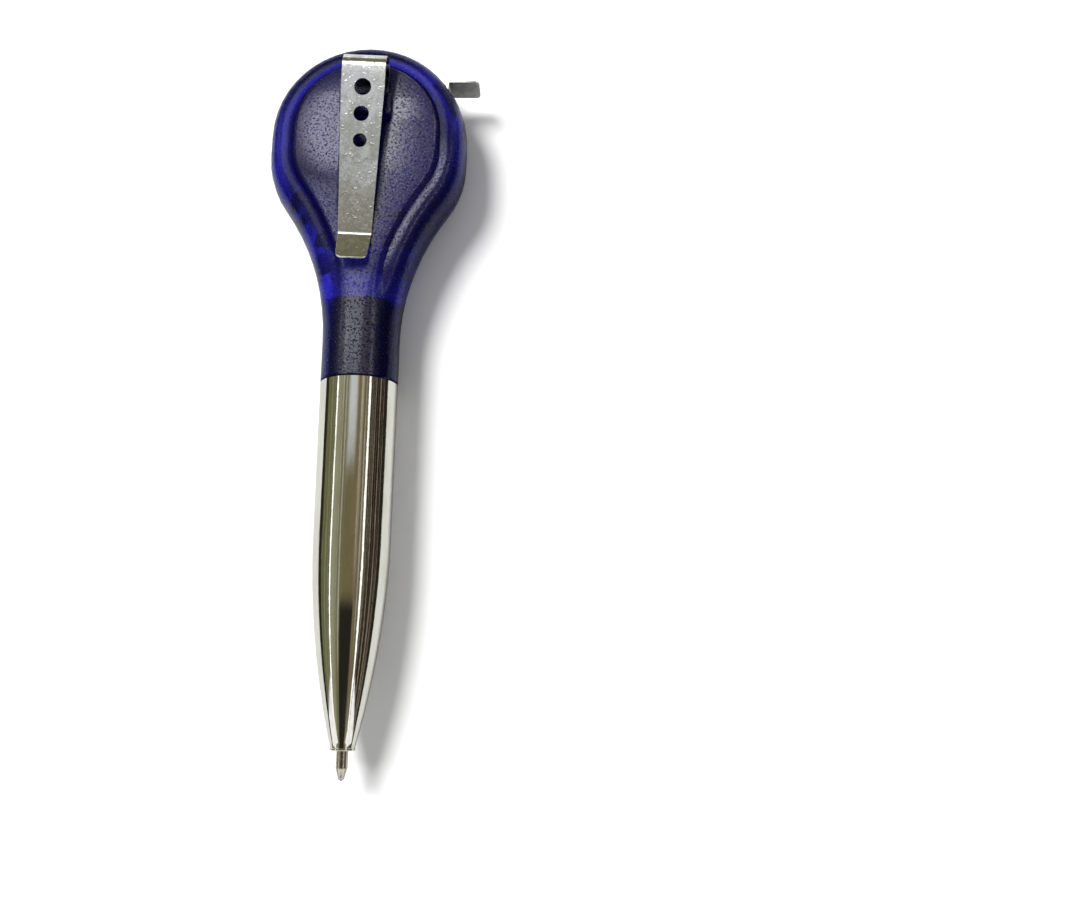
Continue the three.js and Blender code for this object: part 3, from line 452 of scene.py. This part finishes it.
top_bend = (math.pi + SLOPE) * BEND_RADIUS  # lengths of sheet in the two bends
toe_bend = TOE_TURN * TOE_RADIUS
arm_start = LEG_LENGTH + top_bend
taper_start = arm_start + EVEN_LENGTH
toe_start = arm_start + ARM_LENGTH
lip_end = toe_start + toe_bend + LIP_LENGTH
clip_mesh = folded_sheet(
    outline=rounded_strip([(HALF_ARM, 0.0), (HALF_ARM, taper_start)], HALF_LIP, lip_end, LIP_CORNER, 6),
    holes=[(0.0, arm_start + (ARM_START_Y - y) / math.cos(SLOPE), radius) for y, radius in HOLES],
    folds=[(LEG_LENGTH, BEND_RADIUS, math.pi + SLOPE), (toe_start, TOE_RADIUS, -TOE_TURN)],
    thickness=CLIP_SHEET,
    cuts=([LEG_LENGTH + top_bend * i / 28 for i in range(29)]
          + [toe_start + toe_bend * i / 8 for i in range(9)]),
    place=(Matrix.Translation((0, CLIP_PIVOT_Y * MM, 0)) @ Matrix.Rotation(CLIP_LEAN, 4, "Z")
           @ Matrix.Scale(MM, 4) @ Matrix.Translation((0, LEG_FOOT[0] - CLIP_PIVOT_Y, LEG_FOOT[1]))),
    soft_edge=0.1,
)

steel = Finish("plated clip steel", Metallic=1.0)
scratches = steel.noise((3600, 420, 2600), 4.0, 0.65)
blotches = steel.noise((300, 240, 300), 5.0, 0.68)
dots = steel.noise((1300, 1300, 1300), 2.0).ramp(0.62, 0.72)
across, along, up = steel.axes()
fold_shade = along.ramp(2.0, 4.0) * up.fall(16.2, 17.2) * across.fall(6.0, 8.0)  # painted shade: the short leg and the lower part of the fold, under the arm, are darkened
plating = steel.mix(blotches.ramp(0.36, 0.62), (0.95, 0.96, 0.97), (0.64, 0.64, 0.60))
steel.set(
    Base_Color=steel.mix(fold_shade, plating, (0.16, 0.17, 0.20)),
    Roughness=0.06 + 0.10 * blotches.ramp(0.38, 0.64) + 0.08 * scratches + 0.12 * dots,
    Normal=steel.bump(0.9 * scratches + 0.9 * blotches + 0.4 * dots, 0.07 * MM, 0.4),
)
clip = piece("pocket_clip", clip_mesh, None, steel, ("clip",))
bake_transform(clip)

# End hook: plated sheet steel, folded square. One leg is riveted to the blade and the other stands across
# the head's mouth, catches the edge of what is measured, and stops the blade from running in.
HOOK_INSIDE = 14.794  # x of the riveted leg's inner face
HOOK_FACE = 12.0127  # y of the face that catches, where the blade's scale starts
HOOK_SHEET = 0.4
HALF_HOOK = 3.1
HOOK_CORNER = 1.1
HOOK_LEG, HOOK_RADIUS, HOOK_REACH = 4.4, 0.4, 6.25  # to and from the middle of the sheet

hook_start = HOOK_LEG - HOOK_RADIUS
hook_bend = math.pi / 2 * HOOK_RADIUS
hook_end = hook_start + hook_bend + HOOK_REACH - HOOK_RADIUS
hook_mesh = folded_sheet(
    outline=rounded_strip([(HALF_HOOK, 0.0)], HALF_HOOK, hook_end, HOOK_CORNER, 5),
    holes=[(z, 1.6, 0.6) for z in (-1.4, 1.4)],  # for the two rivets
    folds=[(hook_start, HOOK_RADIUS, math.pi / 2)],
    thickness=HOOK_SHEET,
    cuts=[hook_start + hook_bend * i / 4 for i in range(5)],
    place=(Matrix.Scale(MM, 4) @ Matrix.Translation((
        HOOK_INSIDE + HOOK_SHEET / 2, HOOK_FACE + HOOK_SHEET / 2 - HOOK_LEG, AXIS_HEIGHT))
        @ Matrix.Rotation(math.pi / 2, 4, "Y")),
    soft_edge=0.05,
)
piece("folded_hook", hook_mesh, "blade", steel, ("end_hook",))

# Blade: a thin steel ribbon, enamelled cream and ruled in millimetres on both edges. The straight end
# between the roll and the hook draws out of the mouth when the hook is pulled. Two small rivets hold
# the hook to it.
BLADE_X = 14.3944
BLADE_SHEET = 0.2
BLADE_WIDTH = 6.0
BLADE_LOW, BLADE_HIGH = 0.3, 11.71  # y of the straight end's two ends
TICK_START = 1000.5  # keeps the counted distance above 0, with a tick at each whole number

blade_mesh = bmesh.new()
bmesh.ops.create_cube(blade_mesh, size=1.0)
blade_size = Vector((BLADE_SHEET, BLADE_HIGH - BLADE_LOW, BLADE_WIDTH)) * MM
blade_middle = Vector((BLADE_X, (BLADE_LOW + BLADE_HIGH) / 2, AXIS_HEIGHT)) * MM
bmesh.ops.scale(blade_mesh, vec=blade_size, verts=blade_mesh.verts)
bmesh.ops.translate(blade_mesh, vec=blade_middle, verts=blade_mesh.verts)
long_edges = [e for e in blade_mesh.edges if abs(e.verts[0].co.y - e.verts[1].co.y) > blade_size.y / 2]
bmesh.ops.subdivide_edges(blade_mesh, edges=long_edges, cuts=240, use_grid_fill=True)

enamel = Finish("ruled enamel")
_, along, up = enamel.axes()
from_edge = BLADE_WIDTH / 2 - abs(up - AXIS_HEIGHT)
distance = HOOK_FACE - along


def ticks(spacing, width, length):
    """Marks every spacing millimetres, as long as length from each edge of the blade."""
    off_tick = abs((distance / spacing + TICK_START).fraction() - 0.5) * spacing
    return (off_tick < width / 2) * (from_edge < length)


marks = ticks(1.0, 0.16, 1.1).largest(ticks(5.0, 0.18, 1.7), ticks(10.0, 0.24, 2.6))
worn = enamel.noise((500, 500, 500))
cream = enamel.mix(worn, (0.80, 0.77, 0.66), (0.87, 0.85, 0.76))
enamel.set(Base_Color=enamel.mix(marks, cream, (0.015, 0.015, 0.018)), Roughness=0.32 + 0.14 * worn,
           Normal=enamel.bump(worn - 0.4 * marks, 0.01 * MM, 0.5))
blade = piece("blade_end", blade_mesh, None, enamel, ("tape_lead",))
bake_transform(blade)
dress("hook_rivet_1", nickel)
dress("hook_rivet_2", nickel)

# Reel: a black nylon drum with two cheeks that turns on a fixed metal arbor. The flat spiral spring
# inside it is hooked to the arbor at one end and to the drum at the other, and winds the blade in.
SPRING_WIDTH = 5.2
SPRING_SHEET = 0.25

nylon = Finish("black nylon", Roughness=0.5)
moulded = nylon.noise((1800, 1800, 1800))
nylon.set(Base_Color=nylon.mix(moulded, (0.016, 0.016, 0.019), (0.034, 0.034, 0.038)),
          Roughness=0.42 + 0.2 * moulded, Normal=nylon.bump(moulded, 0.03 * MM, 0.4))
blued = Finish("spring steel", Metallic=1.0)
rolled = blued.noise((400, 400, 9000))
blued.set(Base_Color=blued.mix(rolled, (0.36, 0.37, 0.40), (0.48, 0.48, 0.50)),
          Roughness=0.22 + 0.18 * rolled, Normal=blued.bump(rolled, 0.008 * MM, 0.5))
dress("reel_drum", nylon)
dress("reel_cover", nylon)
dress("reel_arbor", nickel)


def wound(line, width, thickness):
    """A strip that stands on edge across the pen and follows a line of [x, y] points, in millimetres."""
    mesh = bmesh.new()
    ends = [mesh.verts.new((*line[0], side * width / 2)) for side in (-1, 1)]
    edge = mesh.edges.new(ends)
    for (x, y), (next_x, next_y) in zip(line, line[1:]):
        grown = bmesh.ops.extrude_edge_only(mesh, edges=[edge])["geom"]
        edge = [part for part in grown if isinstance(part, bmesh.types.BMEdge)][0]
        bmesh.ops.translate(mesh, verts=edge.verts[:], vec=(next_x - x, next_y - y, 0))
    bmesh.ops.recalc_face_normals(mesh, faces=mesh.faces)
    mesh.normal_update()
    for corner in mesh.verts:
        corner.co += corner.normal * thickness / 2
    bmesh.ops.solidify(mesh, geom=mesh.faces[:], thickness=thickness)
    on_reel = Matrix.Scale(MM, 4) @ Matrix.Translation((0, 0, AXIS_HEIGHT))
    bmesh.ops.transform(mesh, matrix=on_reel, verts=mesh.verts)
    return mesh


def spiral(inner, outer, turns, start, steps=60):
    """Points of a spiral from one radius to another, from a start angle in degrees."""
    for i in range(int(turns * steps) + 1):
        share = i / (turns * steps)
        angle = math.radians(start) + 2 * math.pi * turns * share
        radius = inner + (outer - inner) * share
        yield radius * math.cos(angle), radius * math.sin(angle)


# The coil stands still with the arbor, and its short tail, in the drum's notch, goes round with the reel.
spring_line = [(0.0, 1.1), (0.0, 2.0), *spiral(2.75, 11.45, 9, 96)]
tail_line = [(-0.5, 11.85), (-0.45, 12.1), (-0.35, 12.42)]
piece("mainspring", wound(spring_line, SPRING_WIDTH, SPRING_SHEET), "case", blued,
      ("power_spring",))
piece("mainspring_tail", wound(tail_line, SPRING_WIDTH, SPRING_SHEET), "reel", blued)

# Wound blade: the rest of the enamelled ribbon, rolled tightly on the drum between its cheeks. It is drawn
# in eleven turns that lie on each other.
ROLL_INSIDE, ROLL_OUTSIDE = 13.17, 14.3
ROLL_SHEET = 0.085  # thinner than the ribbon, so that the turns stay apart
piece("blade_roll", wound([*spiral(ROLL_INSIDE, ROLL_OUTSIDE, 11, 0, 90)], BLADE_WIDTH, ROLL_SHEET), "reel",
      enamel, ("tape_roll",))

# Twist mechanism: a white acetal spindle keyed in the neck, with a sloping cam round its skirt, and the
# black follower that the cam pushes down when the barrel is turned.
acetal = Finish("white acetal", Subsurface_Weight=0.15, Subsurface_Radius=(0.002, 0.002, 0.002))
waxy = acetal.noise((900, 900, 900))
acetal.set(Base_Color=acetal.mix(waxy, (0.74, 0.72, 0.66), (0.82, 0.80, 0.75)),
           Roughness=0.36 + 0.14 * waxy, Normal=acetal.bump(waxy, 0.02 * MM, 0.3))
dress("cam_spindle", acetal)
dress("cam_follower", nylon)

# Refill: a clear ink tube with a plug at its top and a turned nickel silver nose. The nose has a shoulder
# for the return spring, a plain shaft through the barrel's tip, and a cone that holds the writing ball.
POINT_END = -120.58
SHAFT_RADIUS = 1.05
SHOULDER_LOW, SHOULDER_HIGH = -105.0, -104.0
SHOULDER_RADIUS = 1.7
STEM_TOP = -100.0  # the stem is pushed into the tube
STEM_RADIUS = 1.0
BALL_Y = -120.4
BALL_RADIUS = 0.4

tube = Finish("clear ink tube", Roughness=0.2, IOR=1.49, Transmission_Weight=0.7)
streaks = tube.noise((300, 60, 300))
tube.set(Base_Color=tube.mix(streaks, (0.10, 0.12, 0.34), (0.05, 0.06, 0.22)),
         Roughness=0.15 + 0.1 * streaks)
dress("refill_tube", tube)
dress("refill_plug", acetal)

socket_profile = [(0.0, BALL_Y + 0.45), (0.30, BALL_Y + 0.33), (0.43, BALL_Y + 0.1), (0.44, BALL_Y - 0.02),
                  (0.42, POINT_END)]
cone_profile = [(0.50, POINT_END), (0.56, POINT_END + 0.12), (0.60, POINT_END + 0.35),
                (0.97, POINT_END + 1.72), (1.02, POINT_END + 1.84), (SHAFT_RADIUS, POINT_END + 2.0)]
nib_profile = [
    *socket_profile, *cone_profile,
    (SHAFT_RADIUS, SHOULDER_LOW), (SHOULDER_RADIUS, SHOULDER_LOW), (SHOULDER_RADIUS, SHOULDER_HIGH),
    (STEM_RADIUS, SHOULDER_HIGH), (STEM_RADIUS, STEM_TOP), (0.0, STEM_TOP),
]
piece("nib", turned(nib_profile, 64, 0.03), "refill", nickel, ("refill_nose",))

# Writing ball: a ground ball of tungsten carbide, held in the cone's socket by its rolled edge. It turns
# as it writes and is wet with ink.
carbide = Finish("tungsten carbide", Metallic=1.0)
inked = carbide.noise((2500, 2500, 2500), 2.0)
carbide.set(Base_Color=carbide.mix(inked.ramp(0.45, 0.6), (0.34, 0.34, 0.35), (0.05, 0.05, 0.09)),
            Roughness=0.2 + 0.1 * inked)
ball_mesh = bmesh.new()
bmesh.ops.create_uvsphere(ball_mesh, u_segments=32, v_segments=16, radius=BALL_RADIUS * MM,
                          matrix=Matrix.Translation(Vector((0, BALL_Y, AXIS_HEIGHT)) * MM))
piece("writing_ball", ball_mesh, "ball", carbide, ("nib_ball",))

# Return spring: a helix of fine steel wire round the nose, from its seat in the barrel's tip to the
# refill's shoulder. It lengthens as the nib draws in.
WIRE_RADIUS = 0.2
COIL_RADIUS = 1.55
COIL_TURNS = 6
COIL_STEPS = 36  # in each turn
COIL_CLEARANCE = 0.3  # between the wire and what each end bears on

coil_low = (SPRING_SEAT + COIL_CLEARANCE + WIRE_RADIUS) * MM
coil_high = (SHOULDER_LOW - COIL_CLEARANCE - WIRE_RADIUS) * MM
across_wire = Matrix.Rotation(math.pi / 2, 3, "Z") @ Matrix.Rotation(math.pi / 2, 3, "X")
wire_mesh = bmesh.new()
ring = bmesh.ops.create_circle(wire_mesh, cap_ends=True, segments=10, radius=WIRE_RADIUS * MM)["verts"]
bmesh.ops.rotate(wire_mesh, cent=(0, 0, 0), matrix=across_wire, verts=ring)
bmesh.ops.translate(wire_mesh, vec=(0, coil_low, (AXIS_HEIGHT + COIL_RADIUS) * MM), verts=ring)
bmesh.ops.spin(wire_mesh, geom=wire_mesh.faces[:], cent=(0, 0, AXIS_HEIGHT * MM), axis=(0, 1, 0),
               dvec=(0, (coil_high - coil_low) / (COIL_TURNS * COIL_STEPS), 0),
               angle=2 * math.pi * COIL_TURNS, steps=COIL_TURNS * COIL_STEPS, use_merge=False)
coil = piece("nib_spring", wire_mesh, None, blued, ("return_spring",))
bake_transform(coil)

# Surround: an even white that lights the pen plainly from all round. The camera and polished metal see it
# as pure white. From here on, the sizes are in metres.
DIFFUSE_STRENGTH = 0.33  # of the white, for the rays that only carry light


def seen_by(graph, *kinds):
    """1 for rays of these kinds, and 0 for all others."""
    first, *others = [graph.node("ShaderNodeLightPath", output=f"Is {kind} Ray") for kind in kinds]
    return first.largest(*others)


world = bpy.data.worlds.new("surround")
world.use_nodes = True
bpy.context.scene.world = world
around = Graph(world.node_tree)
backdrop = around.tree.nodes["Background"]
around.feed(backdrop.inputs["Color"], (1.0, 1.0, 1.0))
around.feed(backdrop.inputs["Strength"],
            DIFFUSE_STRENGTH + (1.0 - DIFFUSE_STRENGTH) * seen_by(around, "Camera", "Glossy"))

# Sweep: a large sheet of matt white paper under the pen. Polished metal sees it end in the dark of the
# room, a little way to each side.
SWEEP_SIZE = 6.0
SWEEP_DROP = 0.00005  # keeps the paper clear of the resting face


def flat_sheet(name, finish, centre, width, length, tilt=0, turn=0):
    """A rectangle of one face, tilted about the pen's direction and then turned about the upright."""
    mesh = bmesh.new()
    bmesh.ops.create_grid(mesh, x_segments=1, y_segments=1, size=0.5)
    bmesh.ops.scale(mesh, vec=(width, length, 1), verts=mesh.verts)
    facing = Matrix.Rotation(math.radians(turn), 3, "Z") @ Matrix.Rotation(math.radians(tilt), 3, "Y")
    bmesh.ops.rotate(mesh, cent=(0, 0, 0), matrix=facing, verts=mesh.verts)
    bmesh.ops.translate(mesh, vec=centre, verts=mesh.verts)
    data = bpy.data.meshes.new(name)
    mesh.to_mesh(data)
    mesh.free()
    data.materials.append(finish.material)
    return in_scene(name, data)


paper = Finish("white sweep", Roughness=0.9, Specular_IOR_Level=0.0)
sideways = abs(paper.axes(1.0)[0])
white = paper.mix(seen_by(paper, "Camera", "Transmission"), (0.70, 0.71, 0.67), (1.14, 1.14, 1.14))
dark_room = seen_by(paper, "Glossy") * sideways.ramp(0.048, 0.058)
paper.set(Base_Color=paper.mix(dark_room, white, (0.02, 0.018, 0.012)))
flat_sheet("sweep", paper, (0, 0, -SWEEP_DROP), SWEEP_SIZE, SWEEP_SIZE)

# Cards: tinted, softly glowing boards round the pen, which only polished metal and the sheen of the
# plastic see. They stand for the ceiling, the window, two strip lights and the walls of the room.
CEILING_X, CEILING_WIDTH = -0.12, 1.48


def card(name, centre, width, tilt, colour_at, length=1.0, turn=0):
    """Adds one card. Its colour is given as a function of the card's material."""
    glow = Finish(name, Base_Color=(0, 0, 0), Specular_IOR_Level=0.0, Emission_Strength=1.0)
    glow.set(Emission_Color=colour_at(glow))
    made = flat_sheet(name, glow, centre, width, length, tilt, turn)
    made.visible_camera = made.visible_diffuse = made.visible_shadow = False
    made.visible_transmission = made.visible_volume_scatter = False


def plain(red, green, blue):
    """One colour all over."""
    return lambda glow: (red, green, blue)


def striped(dark, light):
    """A wall with long shelves: stripes along the pen, from dark to light."""
    return lambda glow: glow.mix(glow.noise((1.0, 0.5, 11.0), 4.0, 0.6).ramp(0.46, 0.66), dark, light)


def ceiling_colour(glow):
    """Olive to brown from left to right, a lit patch over the collar and a dark figure over the tip."""
    across, along, _ = glow.axes(1.0)
    shade = glow.node("ShaderNodeValToRGB", {"stops": [
        (0.00, (0.30, 0.30, 0.20)), (0.24, (0.28, 0.27, 0.18)), (0.34, (0.17, 0.16, 0.09)),
        (0.52, (0.15, 0.13, 0.065)), (0.66, (0.17, 0.135, 0.07)), (0.73, (0.22, 0.18, 0.10)),
        (0.80, (0.14, 0.11, 0.06)), (1.00, (0.20, 0.17, 0.11))]},
        {0: (across - (CEILING_X - CEILING_WIDTH / 2)) / CEILING_WIDTH})
    bars = 0.3 * glow.noise((9.0, 1.2, 1.0), 3.0, 0.6).ramp(0.56, 0.68)  # window bars and shelves
    lit = across.ramp(-0.26, -0.12) * across.fall(0.0, 0.12) * along.ramp(0.030, 0.070)
    dark = across.ramp(-0.27, -0.20) * across.fall(0.18, 0.26) * along.fall(-0.165, -0.120)
    barred = glow.mix(bars, shade, (0.8, 0.82, 0.76))
    return glow.mix(lit, glow.mix(dark, barred, (0.02, 0.018, 0.014)), (0.54, 0.56, 0.57))


card("ceiling", (CEILING_X, 0, 0.60), CEILING_WIDTH, 0, ceiling_colour)
card("window", (-0.24, 0.318, 0.58), 0.52, 0, plain(2.8, 2.8, 2.9), length=0.284)
card("left strip", (-0.80, 0, 0.55), 0.12, 0, plain(1.5, 1.5, 1.48))
card("left wall", (-1.30, 0, 0.44), 0.90, 90, striped((0.13, 0.13, 0.06), (0.24, 0.24, 0.15)))
card("right strip", (0.48, 0, 0.55), 0.09, 0, plain(1.4, 1.4, 1.36))
card("right wall", (0.92, 0, 0.44), 0.90, 90, striped((0.02, 0.014, 0.01), (0.30, 0.26, 0.20)))
card("far wall", (-0.2, 0.90, 0.66), 0.92, 90, plain(0.17, 0.16, 0.10), length=2.6, turn=90)

# Lamp: one soft round lamp at the upper left, which throws the pen's shadow to the right. Polished metal
# doesn't see it.
LAMP_DISTANCE = 1.5
LAMP_AIM = Vector((0.0, -0.04, 0.0))

lamp_data = bpy.data.lights.new("key", "AREA")
lamp_data.shape = "DISK"
lamp_data.size = 0.65
lamp_data.energy = 23.0
lamp_direction = Vector((-0.60, 0.40, 1.0)).normalized()
lamp = in_scene("key", lamp_data)
lamp.location = LAMP_AIM + lamp_direction * LAMP_DISTANCE
lamp.rotation_euler = lamp_direction.to_track_quat("Z", "Y").to_euler()
lamp.visible_glossy = lamp.visible_transmission = False

# Camera: above the barrel, looking down and a little towards the head, as in the photograph. The focal
# length is given in pixels of the photograph.
PHOTO_WIDTH = 1070
FOCAL_PIXELS = 1200

camera_data = bpy.data.cameras.new("camera")
camera_data.sensor_width = 36.0
camera_data.lens = camera_data.sensor_width * FOCAL_PIXELS / PHOTO_WIDTH
camera = in_scene("camera", camera_data)
camera.location = Vector((34.0, -107.0, 226.1)) * MM
camera.rotation_euler = (math.radians(11.5), 0.0, math.radians(0.9))
bpy.context.scene.camera = camera
bpy.context.scene.view_settings.view_transform = "Standard"
